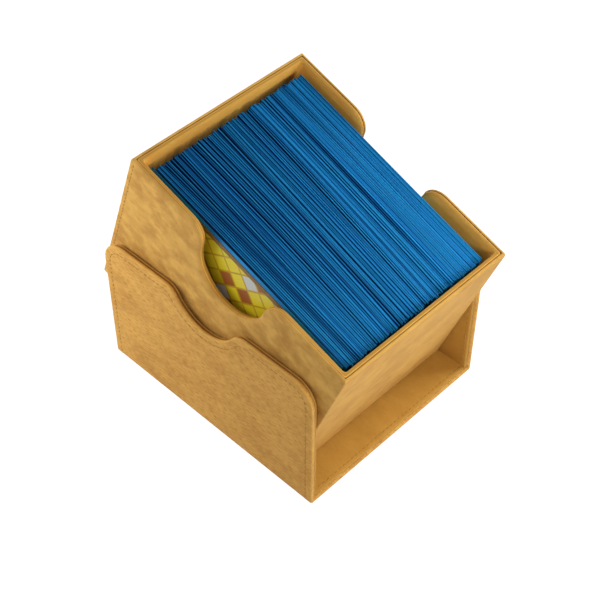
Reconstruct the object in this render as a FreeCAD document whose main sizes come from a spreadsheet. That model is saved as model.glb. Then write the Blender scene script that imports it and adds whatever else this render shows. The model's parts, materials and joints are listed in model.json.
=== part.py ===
import FreeCAD, Part
import math
import os
from collections import namedtuple

import Sketcher

# Deck box: an open-ended case that doubles as a stand, and a card drawer that leans in it.
# X runs across from the left wall to the right one, Y from the open front to the rear, Z up.
# The origin is the middle of the case's underside. The drawer is drawn upright in a frame of its own,
# with its toe (the front bottom edge) at Y 0 and its underside at Z 0, and all of it is then leaned.

# Driving dimensions: alias, value in millimetres (degrees, pieces), meaning
DIMENSIONS = [
    ("card_length", 91.5, "sleeved card, long edge, lying along the drawer"),
    ("card_height", 66.5, "sleeved card, short edge, standing up"),
    ("card_thickness", 0.66, "sleeved card"),
    ("card_spacing", 0.70, "from one sleeved card to the next"),
    ("card_count", 100, "cards in the deck, with the front card"),
    ("card_end_room", 2.25, "from the cards to each end of the drawer"),
    ("card_side_room", 2.0, "from the deck to each side of the drawer"),
    ("card_rest_gap", 0.1, "under the cards"),
    ("rim_over_cards", 3.4, "drawer's rim above the cards"),
    ("drawer_skin", 1.0, "outer skin of the drawer"),
    ("drawer_board", 1.5, "stiff board behind that skin"),
    ("drawer_lining", 0.5, "lining over the board"),
    ("drawer_edge_round", 1.2, "outer edges of the drawer"),
    ("thumb_half_width", 23.0, "thumb notch, from its middle to the flat rim"),
    ("thumb_depth", 23.4, "thumb notch below the rim"),
    ("thumb_round", 15.0, "radius at the bottom of the thumb notch"),
    ("case_end_cover", 0.5, "case past each end of the drawer it closes over"),
    ("case_height", 60.0, "side walls of the case"),
    ("case_skin", 0.7, "outer skin of the case, turned in over its edges"),
    ("case_board", 1.3, "stiff board inside that skin"),
    ("case_lining", 1.0, "padded lining of the case's side walls"),
    ("case_floor_lining", 0.5, "thinner lining of the case's floor"),
    ("lining_setback", 0.7, "lining short of the case's edges"),
    ("case_edge_round", 0.9, "outer edges of the case"),
    ("case_corner_round", 10.0, "upper corners of the side walls"),
    ("grip_half_width", 19.5, "grip dip, from its middle to the flat edge"),
    ("grip_depth", 10.8, "grip dip below the edge"),
    ("grip_round", 16.2, "radius at the bottom of the grip dip"),
    ("side_gap", 0.5, "between the drawer and the case's lining, each side"),
    ("tilt", 19.3, "lean of the drawer, degrees"),
    ("toe_setback", 13.6, "drawer's toe behind the case's front"),
    ("toe_gap", 0.1, "under the drawer's toe"),
    ("magnet_diameter", 8.0, "closing magnets"),
    ("magnet_end_inset", 14.3, "magnets from the case's ends"),
    ("magnet_edge_inset", 6.0, "magnets below the case's upper edge"),
]

# Sizes that follow from them, as expressions over the sheet
DRAWER_LINER = "(dims.drawer_board + dims.drawer_lining)"
DRAWER_WALL = f"(dims.drawer_skin + {DRAWER_LINER})"
DRAWER_DECK = "(dims.drawer_skin + dims.drawer_board)"
DECK_THICKNESS = "(dims.card_count * dims.card_spacing)"
DRAWER_WIDTH = f"({DECK_THICKNESS} + 2 * dims.card_side_room + 2 * {DRAWER_WALL})"
DRAWER_LENGTH = f"(dims.card_length + 2 * dims.card_end_room + 2 * {DRAWER_WALL})"
DRAWER_HEIGHT = f"({DRAWER_WALL} + dims.card_rest_gap + dims.card_height + dims.rim_over_cards)"
CASE_SHELL = "(dims.case_skin + dims.case_board)"
CASE_WALL = f"({CASE_SHELL} + dims.case_lining)"
CASE_FLOOR = f"({CASE_SHELL} + dims.case_floor_lining)"
CASE_WIDTH = f"({DRAWER_WIDTH} + 2 * dims.side_gap + 2 * {CASE_WALL})"
CASE_LENGTH = f"({DRAWER_LENGTH} + 2 * dims.case_end_cover)"
CASE_FRONT = f"(-{CASE_LENGTH} / 2)"

# Where the drawer stands: its rounded toe lies toe_gap above the lining of the case's floor
TOE_Y = f"({CASE_FRONT} + dims.toe_setback)"
TOE_ROUND_LOSS = "(dims.drawer_edge_round * (sin(dims.tilt) + cos(dims.tilt) - 1))"
TOE_Z = f"({CASE_FLOOR} + dims.toe_gap - {TOE_ROUND_LOSS})"

# The case's magnets sit near its upper corners; the rear pair faces the drawer's rear pair
CASE_MAGNET_Y = f"({CASE_LENGTH} / 2 - dims.magnet_end_inset)"
CASE_MAGNET_Z = "(dims.case_height - dims.magnet_edge_inset)"
FROM_TOE_Y = f"({CASE_MAGNET_Y} - {TOE_Y})"
FROM_TOE_Z = f"({CASE_MAGNET_Z} - {TOE_Z})"
DRAWER_MAGNET_Y = f"({FROM_TOE_Y} * cos(dims.tilt) + {FROM_TOE_Z} * sin(dims.tilt))"
DRAWER_MAGNET_Z = f"({FROM_TOE_Z} * cos(dims.tilt) - {FROM_TOE_Y} * sin(dims.tilt))"

# A rounded dip in the upper edge of a wall: expressions for its half width, depth and bottom radius
Dip = namedtuple("Dip", "half_width depth round")
THUMB_NOTCH = Dip("dims.thumb_half_width", "dims.thumb_depth", "dims.thumb_round")
GRIP_DIP = Dip("dims.grip_half_width", "dims.grip_depth", "dims.grip_round")

# Edges this close to a plane lie on it
TOUCH = 1e-4

doc = FreeCAD.newDocument("deck_box")
sheet = doc.addObject("Spreadsheet::Sheet", "dims")
for row, (alias, value, meaning) in enumerate(DIMENSIONS, start=1):
    sheet.set(f"A{row}", meaning)
    sheet.set(f"B{row}", str(value))
    sheet.setAlias(f"B{row}", alias)
doc.recompute()

subparts = []


def size(expression):
    """Value of an expression over the sheet."""
    return float(sheet.evalExpression(expression))


def subpart(piece):
    """Count an object of the document as a finished piece, named by its label."""
    subparts.append(piece)
    return piece


def less(outer, inner):
    """Expression for one size less another."""
    return f"({outer} - {inner})"


def plus(first, second):
    """Expression for two sizes together."""
    return f"({first} + {second})"


def twice(expression):
    return f"(2 * {expression})"


def centred(extent):
    """Expression for where something of this extent starts, if its middle is at 0."""
    return f"(-{extent} / 2)"


# Placing


def put(piece, x, y, z):
    """Stand a piece with its corner or centre at a place in the case."""
    for axis, expression in zip("xyz", (x, y, z)):
        piece.setExpression(f"Placement.Base.{axis}", expression)
    return piece


def put_in_drawer(piece, x="0", y="0", z="0"):
    """Put a piece at a place in the drawer's own frame, as the drawer leans."""
    leaned_y = f"{TOE_Y} + {y} * cos(dims.tilt) - {z} * sin(dims.tilt)"
    leaned_z = f"{TOE_Z} + {y} * sin(dims.tilt) + {z} * cos(dims.tilt)"
    return put(piece, x, leaned_y, leaned_z)


def lean(piece):
    """Turn a piece about X as the drawer leans."""
    across = FreeCAD.Vector(1, 0, 0)
    piece.Placement = FreeCAD.Placement(FreeCAD.Vector(), FreeCAD.Rotation(across, size("dims.tilt")))
    piece.setExpression("Placement.Rotation.Angle", "dims.tilt")
    return piece


# Sketches and solids


def bind(sketch, kind, *where):
    """Dimension of a sketch whose last argument is the expression that it is bound to."""
    *places, expression = where
    index = sketch.addConstraint(Sketcher.Constraint(kind, *places, size(expression)))
    sketch.setExpression(f"Constraints[{index}]", expression)


def sketch_on(body, role, name, x, y, z):
    """Sketch on one of the body's origin planes, moved along the sketch's own axes."""
    plane = next(feature for feature in body.Origin.OriginFeatures if feature.Role == role)
    sketch = body.newObject("Sketcher::SketchObject", name)
    sketch.AttachmentSupport = [(plane, "")]
    sketch.MapMode = "FlatFace"
    for axis, expression in zip("xyz", (x, y, z)):
        sketch.setExpression(f"AttachmentOffset.Base.{axis}", expression)
    return sketch


def line(start_x, start_y, end_x, end_y):
    return Part.LineSegment(FreeCAD.Vector(start_x, start_y, 0), FreeCAD.Vector(end_x, end_y, 0))


def arc(x, y, radius, start, end):
    circle = Part.Circle(FreeCAD.Vector(x, y, 0), FreeCAD.Vector(0, 0, 1), radius)
    return Part.ArcOfCircle(circle, start, end)


def rectangle(sketch, width, height):
    """Rectangle with its corner at the sketch's origin."""
    across, up = size(width), size(height)
    corners = [(0, 0), (across, 0), (across, up), (0, up)]
    for start, end in zip(corners, corners[1:] + corners[:1]):
        sketch.addGeometry(line(*start, *end))
    for side in range(4):
        sketch.addConstraint(Sketcher.Constraint("Coincident", side, 2, (side + 1) % 4, 1))
        sketch.addConstraint(Sketcher.Constraint("Vertical" if side % 2 else "Horizontal", side))
    sketch.addConstraint(Sketcher.Constraint("Coincident", 0, 1, -1, 1))
    bind(sketch, "DistanceX", 0, 1, 0, 2, width)
    bind(sketch, "DistanceY", 1, 1, 1, 2, height)


def wall_outline(sketch, length, height, dip, corner):
    """Side wall from its lower front corner: a dip in the middle of its upper edge, whose bottom and
    shoulders are arcs that run into each other, and rounded upper corners where a radius is given."""
    span, top = size(length), size(height)
    half, depth, bottom = size(dip.half_width), size(dip.depth), size(dip.round)
    both_radii = (half**2 + depth**2) / (2 * depth)
    shoulder = both_radii - bottom
    slope = math.atan2(both_radii - depth, half)
    rounding = size(corner) if corner else 0.0
    rounded = corner is not None
    middle = span / 2
    quarter = math.pi / 2
    chain = []

    def run(geometry, enter=1, leave=2, smooth=False):
        """Add the next stretch of the outline, smooth where it runs on from the one before."""
        index = sketch.addGeometry(geometry)
        if chain:
            kind = "Tangent" if smooth else "Coincident"
            sketch.addConstraint(Sketcher.Constraint(kind, *chain[-1], index, enter))
        chain.append((index, leave))
        return index

    foot = run(line(0, 0, span, 0))
    rear = run(line(span, 0, span, top - rounding))
    corners = []
    if rounded:
        corners.append(run(arc(span - rounding, top - rounding, rounding, 0, quarter), smooth=True))
    rear_top = run(line(span - rounding, top, middle + half, top), smooth=rounded)
    run(arc(middle + half, top - shoulder, shoulder, quarter, math.pi - slope), smooth=True)
    bottom_arc = arc(middle, top - depth + bottom, bottom, math.pi + slope, 2 * math.pi - slope)
    low = run(bottom_arc, enter=2, leave=1, smooth=True)
    run(arc(middle - half, top - shoulder, shoulder, slope, quarter), smooth=True)
    front_top = run(line(middle - half, top, rounding, top), smooth=True)
    if rounded:
        corners.append(run(arc(rounding, top - rounding, rounding, quarter, math.pi), smooth=True))
    front = run(line(0, top - rounding, 0, 0), smooth=rounded)

    sketch.addConstraint(Sketcher.Constraint("Coincident", front, 2, foot, 1))
    sketch.addConstraint(Sketcher.Constraint("Coincident", foot, 1, -1, 1))
    for level in (foot, rear_top, front_top):
        sketch.addConstraint(Sketcher.Constraint("Horizontal", level))
    for upright in (rear, front):
        sketch.addConstraint(Sketcher.Constraint("Vertical", upright))
    bind(sketch, "DistanceX", foot, 1, foot, 2, length)
    bind(sketch, "DistanceY", foot, 1, rear_top, 1, height)
    bind(sketch, "DistanceY", foot, 1, front_top, 2, height)
    bind(sketch, "DistanceX", foot, 1, low, 3, f"{length} / 2")
    bind(sketch, "DistanceY", foot, 1, low, 3, f"{height} - {dip.depth} + {dip.round}")
    bind(sketch, "Radius", low, dip.round)
    bind(sketch, "DistanceX", low, 3, rear_top, 2, dip.half_width)
    bind(sketch, "DistanceX", front_top, 1, low, 3, dip.half_width)
    for rounded_corner in corners:
        bind(sketch, "Radius", rounded_corner, corner)


def pad(body, sketch, thickness):
    feature = body.newObject("PartDesign::Pad", f"{sketch.Name}_pad")
    feature.Profile = sketch
    feature.setExpression("Length", thickness)
    doc.recompute()


def add_wall(body, name, x, y, z, thickness, length, height, dip, corner=None):
    """Pad a side wall that stands along Y, from its lower front left corner."""
    sketch = sketch_on(body, "YZ_Plane", name, y, z, x)
    wall_outline(sketch, length, height, dip, corner)
    pad(body, sketch, thickness)


def add_block(body, name, x, y, z, width, length, height):
    """Pad a plain panel from its lower front left corner."""
    sketch = sketch_on(body, "XY_Plane", name, x, y, z)
    rectangle(sketch, width, length)
    pad(body, sketch, height)


def new_body(label):
    return doc.addObject("PartDesign::Body", label)


def round_edges(body, radius, chosen):
    """Round the edges of a body that the test picks."""
    base = body.Tip
    edges = [f"Edge{i}" for i, edge in enumerate(base.Shape.Edges, start=1) if chosen(edge)]
    rounding = body.newObject("PartDesign::Fillet", f"{body.Name}_rounding")
    rounding.Base = (base, edges)
    rounding.setExpression("Radius", radius)
    doc.recompute()


def box(label, width, length, height):
    """Plain panel."""
    panel = doc.addObject("Part::Box", label)
    for name, expression in (("Length", width), ("Width", length), ("Height", height)):
        panel.setExpression(name, expression)
    return panel


def cut(label, base, tool):
    """One solid less another."""
    piece = doc.addObject("Part::Cut", label)
    piece.Base = base
    piece.Tool = tool
    return piece


def group(label, members):
    """Like pieces under one name."""
    pieces = doc.addObject("Part::Compound", label)
    pieces.Links = members
    return pieces


def magnet(name, thickness):
    """Disc magnet that lies flat in a side wall."""
    disc = doc.addObject("Part::Cylinder", name)
    disc.setExpression("Radius", "dims.magnet_diameter / 2")
    disc.setExpression("Height", thickness)
    disc.Placement.Rotation = FreeCAD.Rotation(FreeCAD.Vector(0, 1, 0), 90)
    return disc


def lies_at(low, high, *places):
    """Whether the two limits of an edge along one axis lie together at one of these places."""
    return any(abs(low - place) < TOUCH and abs(high - place) < TOUCH for place in places)


# Case


def case_wall(body, name, x, thickness, inset, foot):
    """Side wall of the case, or one layer of it set in from the wall's edges, standing at a height."""
    add_wall(
        body,
        name,
        x,
        plus(CASE_FRONT, inset),
        foot,
        thickness,
        less(CASE_LENGTH, twice(inset)),
        less(less("dims.case_height", inset), foot),
        GRIP_DIP._replace(round=plus(GRIP_DIP.round, inset)),
        less("dims.case_corner_round", inset),
    )


def case_shell():
    """Skin and boards together: two side walls and the floor, with their outer edges rounded."""
    body = new_body("case_shell")
    left = centred(CASE_WIDTH)
    case_wall(body, "case_shell_left", left, CASE_SHELL, "0", "0")
    add_block(body, "case_shell_floor", left, CASE_FRONT, "0", CASE_WIDTH, CASE_LENGTH, CASE_SHELL)
    case_wall(body, "case_shell_right", less(f"{CASE_WIDTH} / 2", CASE_SHELL), CASE_SHELL, "0", "0")
    half_width, half_length = size(CASE_WIDTH) / 2, size(CASE_LENGTH) / 2

    def outer_edge(edge):
        """Edges round the outside of each side wall, and the lower edges of the two ends."""
        limits = edge.BoundBox
        on_side = lies_at(limits.XMin, limits.XMax, -half_width, half_width)
        on_end = lies_at(limits.YMin, limits.YMax, -half_length, half_length)
        return on_side or (on_end and lies_at(limits.ZMin, limits.ZMax, 0.0))

    round_edges(body, "dims.case_edge_round", outer_edge)
    return body


def case_side(side, skin_face, lining_face):
    """Board, magnets and lining of one side wall, given where the board and the lining start across."""
    skin, setback = "dims.case_skin", "dims.lining_setback"
    blank = new_body(f"case_{side}_board_blank")
    case_wall(blank, f"case_{side}_board_outline", skin_face, "dims.case_board", skin, skin)
    discs = []
    for end, y in (("front", f"(-{CASE_MAGNET_Y})"), ("rear", CASE_MAGNET_Y)):
        disc = magnet(f"case_{side}_{end}_magnet", "dims.case_board")
        discs.append(put(disc, skin_face, y, CASE_MAGNET_Z))
    magnets = subpart(group(f"case_{side}_magnets", discs))
    subpart(cut(f"case_{side}_board", blank, magnets))
    lining = subpart(new_body(f"case_{side}_lining"))
    case_wall(lining, f"case_{side}_lining_outline", lining_face, "dims.case_lining", setback, CASE_FLOOR)
    return blank


def make_case():
    shell = case_shell()
    half_width = f"{CASE_WIDTH} / 2"
    left_skin = less("dims.case_skin", half_width)
    right_board = less(half_width, CASE_SHELL)
    left_blank = case_side("left", left_skin, less(CASE_SHELL, half_width))
    right_blank = case_side("right", right_board, less(half_width, CASE_WALL))

    inside = less(CASE_WIDTH, twice(CASE_SHELL))
    skinned_length = less(CASE_LENGTH, twice("dims.case_skin"))
    floor_board = subpart(box("case_floor_board", inside, skinned_length, "dims.case_board"))
    put(floor_board, centred(inside), centred(skinned_length), "dims.case_skin")
    lined_length = less(CASE_LENGTH, twice("dims.lining_setback"))
    floor_lining = subpart(box("case_floor_lining", inside, lined_length, "dims.case_floor_lining"))
    put(floor_lining, centred(inside), centred(lined_length), CASE_SHELL)

    boards = doc.addObject("Part::MultiFuse", "case_boards")
    boards.Shapes = [left_blank, floor_board, right_blank]
    subpart(cut("case_wrap", shell, boards))


# Drawer


def drawer_skin():
    """Outer skin: floor and four walls, with a thumb notch in each side wall and rounded outer edges."""
    body = subpart(lean(new_body("drawer_wrap")))
    put_in_drawer(body)
    skin = "dims.drawer_skin"
    half_width = f"{DRAWER_WIDTH} / 2"
    left = centred(DRAWER_WIDTH)
    side = (skin, DRAWER_LENGTH, DRAWER_HEIGHT, THUMB_NOTCH)
    add_wall(body, "drawer_wrap_left", left, "0", "0", *side)
    add_block(body, "drawer_wrap_floor", left, "0", "0", DRAWER_WIDTH, DRAWER_LENGTH, skin)
    add_wall(body, "drawer_wrap_right", less(half_width, skin), "0", "0", *side)
    for end, y in (("front", "0"), ("rear", less(DRAWER_LENGTH, skin))):
        add_block(body, f"drawer_wrap_{end}", left, y, "0", DRAWER_WIDTH, skin, DRAWER_HEIGHT)
    corner_x, corner_y = size(DRAWER_WIDTH) / 2, size(DRAWER_LENGTH)

    def outer_edge(edge):
        """Upright edges at the corners, and the edges of the underside."""
        limits = edge.BoundBox
        on_side = lies_at(limits.XMin, limits.XMax, -corner_x, corner_x)
        on_end = lies_at(limits.YMin, limits.YMax, 0.0, corner_y)
        return (on_side and on_end) or lies_at(limits.ZMin, limits.ZMax, 0.0)

    round_edges(body, "dims.drawer_edge_round", outer_edge)


def drawer_wall(label, x, thickness, lowered):
    """Side panel of the drawer's liner, or its board, lowered under the lining that is turned over it."""
    body = lean(new_body(label))
    put_in_drawer(body)
    length = less(DRAWER_LENGTH, twice("dims.drawer_skin"))
    height = less(less(DRAWER_HEIGHT, DRAWER_DECK), lowered)
    notch = THUMB_NOTCH._replace(round=plus(THUMB_NOTCH.round, lowered))
    add_wall(body, f"{label}_outline", x, "dims.drawer_skin", DRAWER_DECK, thickness, length, height, notch)
    return body


def drawer_side(side, board_face, panel_face):
    """Board, magnets and lining of one side, given where the board and the whole panel start across."""
    panel = drawer_wall(f"drawer_{side}_panel", panel_face, DRAWER_LINER, "0")
    blank = drawer_wall(f"drawer_{side}_board_blank", board_face, "dims.drawer_board", "dims.drawer_lining")
    discs = []
    for end, y in (("front", less(DRAWER_LENGTH, DRAWER_MAGNET_Y)), ("rear", DRAWER_MAGNET_Y)):
        disc = magnet(f"drawer_{side}_{end}_magnet", "dims.drawer_board")
        discs.append(put_in_drawer(disc, board_face, y, DRAWER_MAGNET_Z))
    magnets = subpart(group(f"drawer_{side}_magnets", discs))
    subpart(cut(f"drawer_{side}_board", blank, magnets))
    subpart(cut(f"drawer_{side}_lining", panel, blank))


def drawer_end(end, board_face, panel_face):
    """Board and lining of one end, between the side panels."""
    width = less(DRAWER_WIDTH, twice(DRAWER_WALL))
    height = less(DRAWER_HEIGHT, DRAWER_DECK)
    panel = lean(box(f"drawer_{end}_panel", width, DRAWER_LINER, height))
    put_in_drawer(panel, centred(width), panel_face, DRAWER_DECK)
    board = lean(box(f"drawer_{end}_board", width, "dims.drawer_board", less(height, "dims.drawer_lining")))
    put_in_drawer(board, centred(width), board_face, DRAWER_DECK)
    subpart(board)
    subpart(cut(f"drawer_{end}_lining", panel, board))


def drawer_floor():
    """Board over the whole floor, and the lining between the walls."""
    skin = "dims.drawer_skin"
    width, length = less(DRAWER_WIDTH, twice(skin)), less(DRAWER_LENGTH, twice(skin))
    board = subpart(lean(box("drawer_floor_board", width, length, "dims.drawer_board")))
    put_in_drawer(board, centred(width), skin, skin)
    width, length = less(DRAWER_WIDTH, twice(DRAWER_WALL)), less(DRAWER_LENGTH, twice(DRAWER_WALL))
    lining = subpart(lean(box("drawer_floor_lining", width, length, "dims.drawer_lining")))
    put_in_drawer(lining, centred(width), DRAWER_WALL, DRAWER_DECK)


def make_drawer():
    drawer_skin()
    drawer_floor()
    half_width = f"{DRAWER_WIDTH} / 2"
    left_board = less("dims.drawer_skin", half_width)
    right_board = less(half_width, DRAWER_DECK)
    drawer_side("left", left_board, left_board)
    drawer_side("right", right_board, less(half_width, DRAWER_WALL))
    drawer_end("front", "dims.drawer_skin", "dims.drawer_skin")
    drawer_end("rear", less(DRAWER_LENGTH, DRAWER_DECK), less(DRAWER_LENGTH, DRAWER_WALL))


# Cards


def card_at(x):
    """Where a card stands in the drawer's own frame."""
    return x, plus(DRAWER_WALL, "dims.card_end_room"), plus(DRAWER_WALL, "dims.card_rest_gap")


def make_cards():
    """The front card, next to the left wall, and the rest of the deck behind it."""
    sizes = ("dims.card_thickness", "dims.card_length", "dims.card_height")
    first = centred(DECK_THICKNESS)
    front_card = subpart(lean(box("front_card", *sizes)))
    put_in_drawer(front_card, *card_at(first))

    deck = subpart(lean(new_body("sleeved_cards")))
    put_in_drawer(deck)
    deck.AllowCompound = True
    add_block(deck, "sleeved_card", *card_at(plus(first, "dims.card_spacing")), *sizes)
    across = next(feature for feature in deck.Origin.OriginFeatures if feature.Role == "X_Axis")
    stack = deck.newObject("PartDesign::LinearPattern", "card_stack")
    stack.Originals = [deck.Tip]
    stack.Direction = (across, [""])
    stack.setExpression("Occurrences", "dims.card_count - 1")
    stack.setExpression("Length", f"{DECK_THICKNESS} - 2 * dims.card_spacing")
    deck.Tip = stack


make_case()
make_drawer()
make_cards()
doc.recompute()

for item in doc.Objects:
    if "Invalid" in item.State or "Error" in item.State:
        raise RuntimeError(f"{item.Label} failed: {item.State}")
for piece in subparts:
    if piece.Shape.isNull() or not piece.Shape.isValid():
        raise RuntimeError(f"{piece.Label} has no valid shape")

os.makedirs("parts", exist_ok=True)
for piece in subparts:
    piece.Shape.exportStep(f"parts/{piece.Label}.step")
    print(f"{piece.Label}: {len(piece.Shape.Solids)} solids, {piece.Shape.Volume:.1f} cubic millimetres")
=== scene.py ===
import json
import math
import random

import bmesh
import bpy
from mathutils import Matrix, Vector

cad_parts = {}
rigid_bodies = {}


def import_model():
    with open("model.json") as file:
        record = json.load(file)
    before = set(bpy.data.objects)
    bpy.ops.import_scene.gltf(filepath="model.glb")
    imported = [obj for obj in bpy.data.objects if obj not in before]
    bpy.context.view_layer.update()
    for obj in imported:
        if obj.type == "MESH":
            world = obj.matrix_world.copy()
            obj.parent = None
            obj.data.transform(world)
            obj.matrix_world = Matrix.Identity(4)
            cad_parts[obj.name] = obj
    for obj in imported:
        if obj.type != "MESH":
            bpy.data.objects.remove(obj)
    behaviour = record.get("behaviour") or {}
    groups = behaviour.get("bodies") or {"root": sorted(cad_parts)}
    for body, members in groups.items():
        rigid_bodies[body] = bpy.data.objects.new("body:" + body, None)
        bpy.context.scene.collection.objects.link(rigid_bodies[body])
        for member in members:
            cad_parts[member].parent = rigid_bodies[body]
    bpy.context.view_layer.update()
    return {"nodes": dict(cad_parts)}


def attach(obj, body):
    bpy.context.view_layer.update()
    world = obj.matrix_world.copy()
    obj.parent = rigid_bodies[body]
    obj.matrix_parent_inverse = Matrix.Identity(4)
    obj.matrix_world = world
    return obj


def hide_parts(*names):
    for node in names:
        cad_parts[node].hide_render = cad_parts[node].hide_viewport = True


for left_over in list(bpy.data.objects):
    bpy.data.objects.remove(left_over)
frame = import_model()

# Looks of the deck box. Shapes are worked out in millimetres, in the frame of the CAD model:
# X across from the left wall to the right one, Y from the open front to the rear, Z up.
MM = 0.001
SEED = 41

# Case, as in the CAD model
CASE_HALF_WIDTH = 43.5
CASE_HALF_LENGTH = 51.5
CASE_HEIGHT = 60.0
CASE_SHELL = 2.0
CASE_LINING = 1.0
CASE_FLOOR_TOP = 2.5
CASE_CORNER = 10.0
LINING_SETBACK = 0.7
GRIP_DIP = {"half_width": 19.5, "depth": 10.8, "bottom": 16.2}

# Drawer, as in the CAD model, drawn upright with its toe at the origin and then leaned
DRAWER_HALF_WIDTH = 40.0
DRAWER_LENGTH = 102.0
DRAWER_HEIGHT = 73.0
THUMB_NOTCH = {"half_width": 23.0, "depth": 23.4, "bottom": 15.0}
TILT = math.radians(19.3)
TOE_Y = -37.9
TOE_Z = 2.271

# Cards, as in the CAD model
CARD_COUNT = 99
CARD_PITCH = 0.70
CARD_FRONT = 5.25
CARD_REAR = 96.75
CARD_FOOT = 3.1
CARD_TOP = 69.6
DECK_LEFT = -34.3
FRONT_CARD_LEFT = -35.0

# How finely curves and flat runs are divided
ARC_STEP = 7.0
RUN_STEP = 6.0
# Points of a mesh nearer to each other than this, in metres, become one
SAME_POINT = 1e-7


# Flat shapes

def arc(centre, radius, start, end):
    """Points on an arc of a circle, from one angle in degrees to another."""
    count = max(2, math.ceil(abs(end - start) / ARC_STEP))
    angles = [math.radians(start + (end - start) * k / count) for k in range(count + 1)]
    return [(centre[0] + radius * math.cos(a), centre[1] + radius * math.sin(a)) for a in angles]


def run(start, end):
    """Points on a straight run, without its ends."""
    count = max(1, round(math.dist(start, end) / RUN_STEP))
    shares = [k / count for k in range(1, count)]
    return [tuple(a + (b - a) * share for a, b in zip(start, end)) for share in shares]


def dip_edge(dip, middle, top):
    """The rounded dip in the upper edge of a wall, as (along, height) points from front to rear."""
    half, depth, bottom = dip["half_width"], dip["depth"], dip["bottom"]
    both = (half ** 2 + depth ** 2) / (2 * depth)
    shoulder = both - bottom
    turn = math.degrees(math.acos((both - depth) / both))
    front = arc((middle - half, top - shoulder), shoulder, 90, 90 - turn)
    hollow = arc((middle, top - depth + bottom), bottom, 270 - turn, 270 + turn)
    rear = arc((middle + half, top - shoulder), shoulder, 90 + turn, 90)
    return front + hollow[1:-1] + rear


def case_edge():
    """Upper edge of a side wall of the case, with its rounded corners."""
    end, top, corner = CASE_HALF_LENGTH, CASE_HEIGHT, CASE_CORNER
    front = arc((corner - end, top - corner), corner, 180, 90)
    rear = arc((end - corner, top - corner), corner, 90, 0)
    dip = dip_edge(GRIP_DIP, 0, top)
    return front + run(front[-1], dip[0]) + dip + run(dip[-1], rear[0]) + rear


def drawer_edge():
    """Upper edge of a side wall of the drawer, between its corners."""
    front = (RUN_STEP, DRAWER_HEIGHT)
    rear = (DRAWER_LENGTH - RUN_STEP, DRAWER_HEIGHT)
    dip = dip_edge(THUMB_NOTCH, DRAWER_LENGTH / 2, DRAWER_HEIGHT)
    return [front] + run(front, dip[0]) + dip + run(dip[-1], rear) + [rear]


def inset(edge, distance, arrives, leaves):
    """An upper edge moved into its wall. arrives and leaves are its directions at the two ends."""
    steps = [Vector(b) - Vector(a) for a, b in zip(edge, edge[1:])]
    steps = [Vector(arrives)] + steps + [Vector(leaves)]
    inward = [Vector((step.y, -step.x)).normalized() for step in steps]
    moved = []
    for point, before, after in zip(edge, inward, inward[1:]):
        shift = (before + after) * distance / (1 + before.dot(after))
        moved.append((point[0] + shift.x, point[1] + shift.y))
    return moved


UP, DOWN, LEVEL = (0, 1), (0, -1), (1, 0)
CASE_EDGE = case_edge()
DRAWER_EDGE = drawer_edge()


def case_edge_at(distance):
    """Upper edge of the case's side wall, that far inside it."""
    return inset(CASE_EDGE, distance, UP, DOWN)


def drawer_edge_at(distance):
    """Upper edge of the drawer's side wall, that far inside it."""
    return inset(DRAWER_EDGE, distance, LEVEL, LEVEL)


# Meshes

class Shape:
    """Points, faces and, for the materials, each point's place in the flat pattern and its tone, which
    marks edges, seams, print margins and each sleeve's tone, with painted highlights and painted shade.
    """

    def __init__(self):
        self.points, self.faces, self.flat, self.tone = [], [], [], []

    def add(self, point, flat, tone=0.0):
        self.points.append(Vector(point))
        self.flat.append(Vector(flat))
        self.tone.append(tone)
        return len(self.points) - 1

    def strip(self, first, second, closed=True):
        """Faces between two rows of points of equal length."""
        count = len(first)
        for k in range(count if closed else count - 1):
            after = (k + 1) % count
            self.faces.append((first[k], first[after], second[after], second[k]))

    def piece(self, name, material, body, slot, replaces=()):
        """The shape as an object in metres that rides on a body."""
        mesh = bpy.data.meshes.new(name)
        mesh.from_pydata([point * MM for point in self.points], [], self.faces)
        flat = mesh.attributes.new("flat", "FLOAT_VECTOR", "POINT")
        flat.data.foreach_set("vector", [value * MM for place in self.flat for value in place])
        tone = mesh.attributes.new("tone", "FLOAT", "POINT")
        tone.data.foreach_set("value", self.tone)
        solid = bmesh.new()
        solid.from_mesh(mesh)
        bmesh.ops.remove_doubles(solid, verts=solid.verts, dist=SAME_POINT)
        bmesh.ops.recalc_face_normals(solid, faces=solid.faces)
        solid.to_mesh(mesh)
        solid.free()
        mesh.polygons.foreach_set("use_smooth", [True] * len(mesh.polygons))
        mesh.materials.append(material)
        made = bpy.data.objects.new(name, mesh)
        bpy.context.scene.collection.objects.link(made)
        made.modifiers.new("even shading", "WEIGHTED_NORMAL").keep_sharp = True
        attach(made, body)
        if replaces:
            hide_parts(*replaces)
        return made


def border(rows):
    """What lies round the outside of a lattice of rows, in order."""
    far_side = [row[-1] for row in rows[1:-1]]
    near_side = [row[0] for row in reversed(rows[1:-1])]
    return rows[0] + far_side + rows[-1][::-1] + near_side


def plate(rows_at, profile, place, painted_seam_shade=None):
    """A closed plate with a shaped edge. rows_at(inset) gives the lattice of flat points at that inset,
    profile the (inset, depth, tone) steps from one face over the edge to the other, place puts a flat point
    in space, and painted_seam_shade says how much of the painted shade in the seams is kept at a flat
    point."""
    shape = Shape()

    def put(spot, depth, tone):
        if painted_seam_shade and tone < 0:
            tone *= painted_seam_shade(*spot)
        return shape.add(place(spot[0], spot[1], depth), (spot[0], spot[1], depth), tone)

    def face(step):
        rows = [[put(spot, step[1], step[2]) for spot in row] for row in rows_at(step[0])]
        for first, second in zip(rows, rows[1:]):
            shape.strip(first, second, closed=False)
        return border(rows)

    ring = face(profile[0])
    for step in profile[1:-1]:
        following = [put(spot, step[1], step[2]) for spot in border(rows_at(step[0]))]
        shape.strip(ring, following)
        ring = following
    shape.strip(ring, face(profile[-1]))
    return shape


# Case

FOLD = 1.0
FLOOR_FLAT = CASE_HALF_WIDTH - FOLD
FOLD_RUN = FOLD * math.pi / 2
FOLD_STEPS = 5
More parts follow.
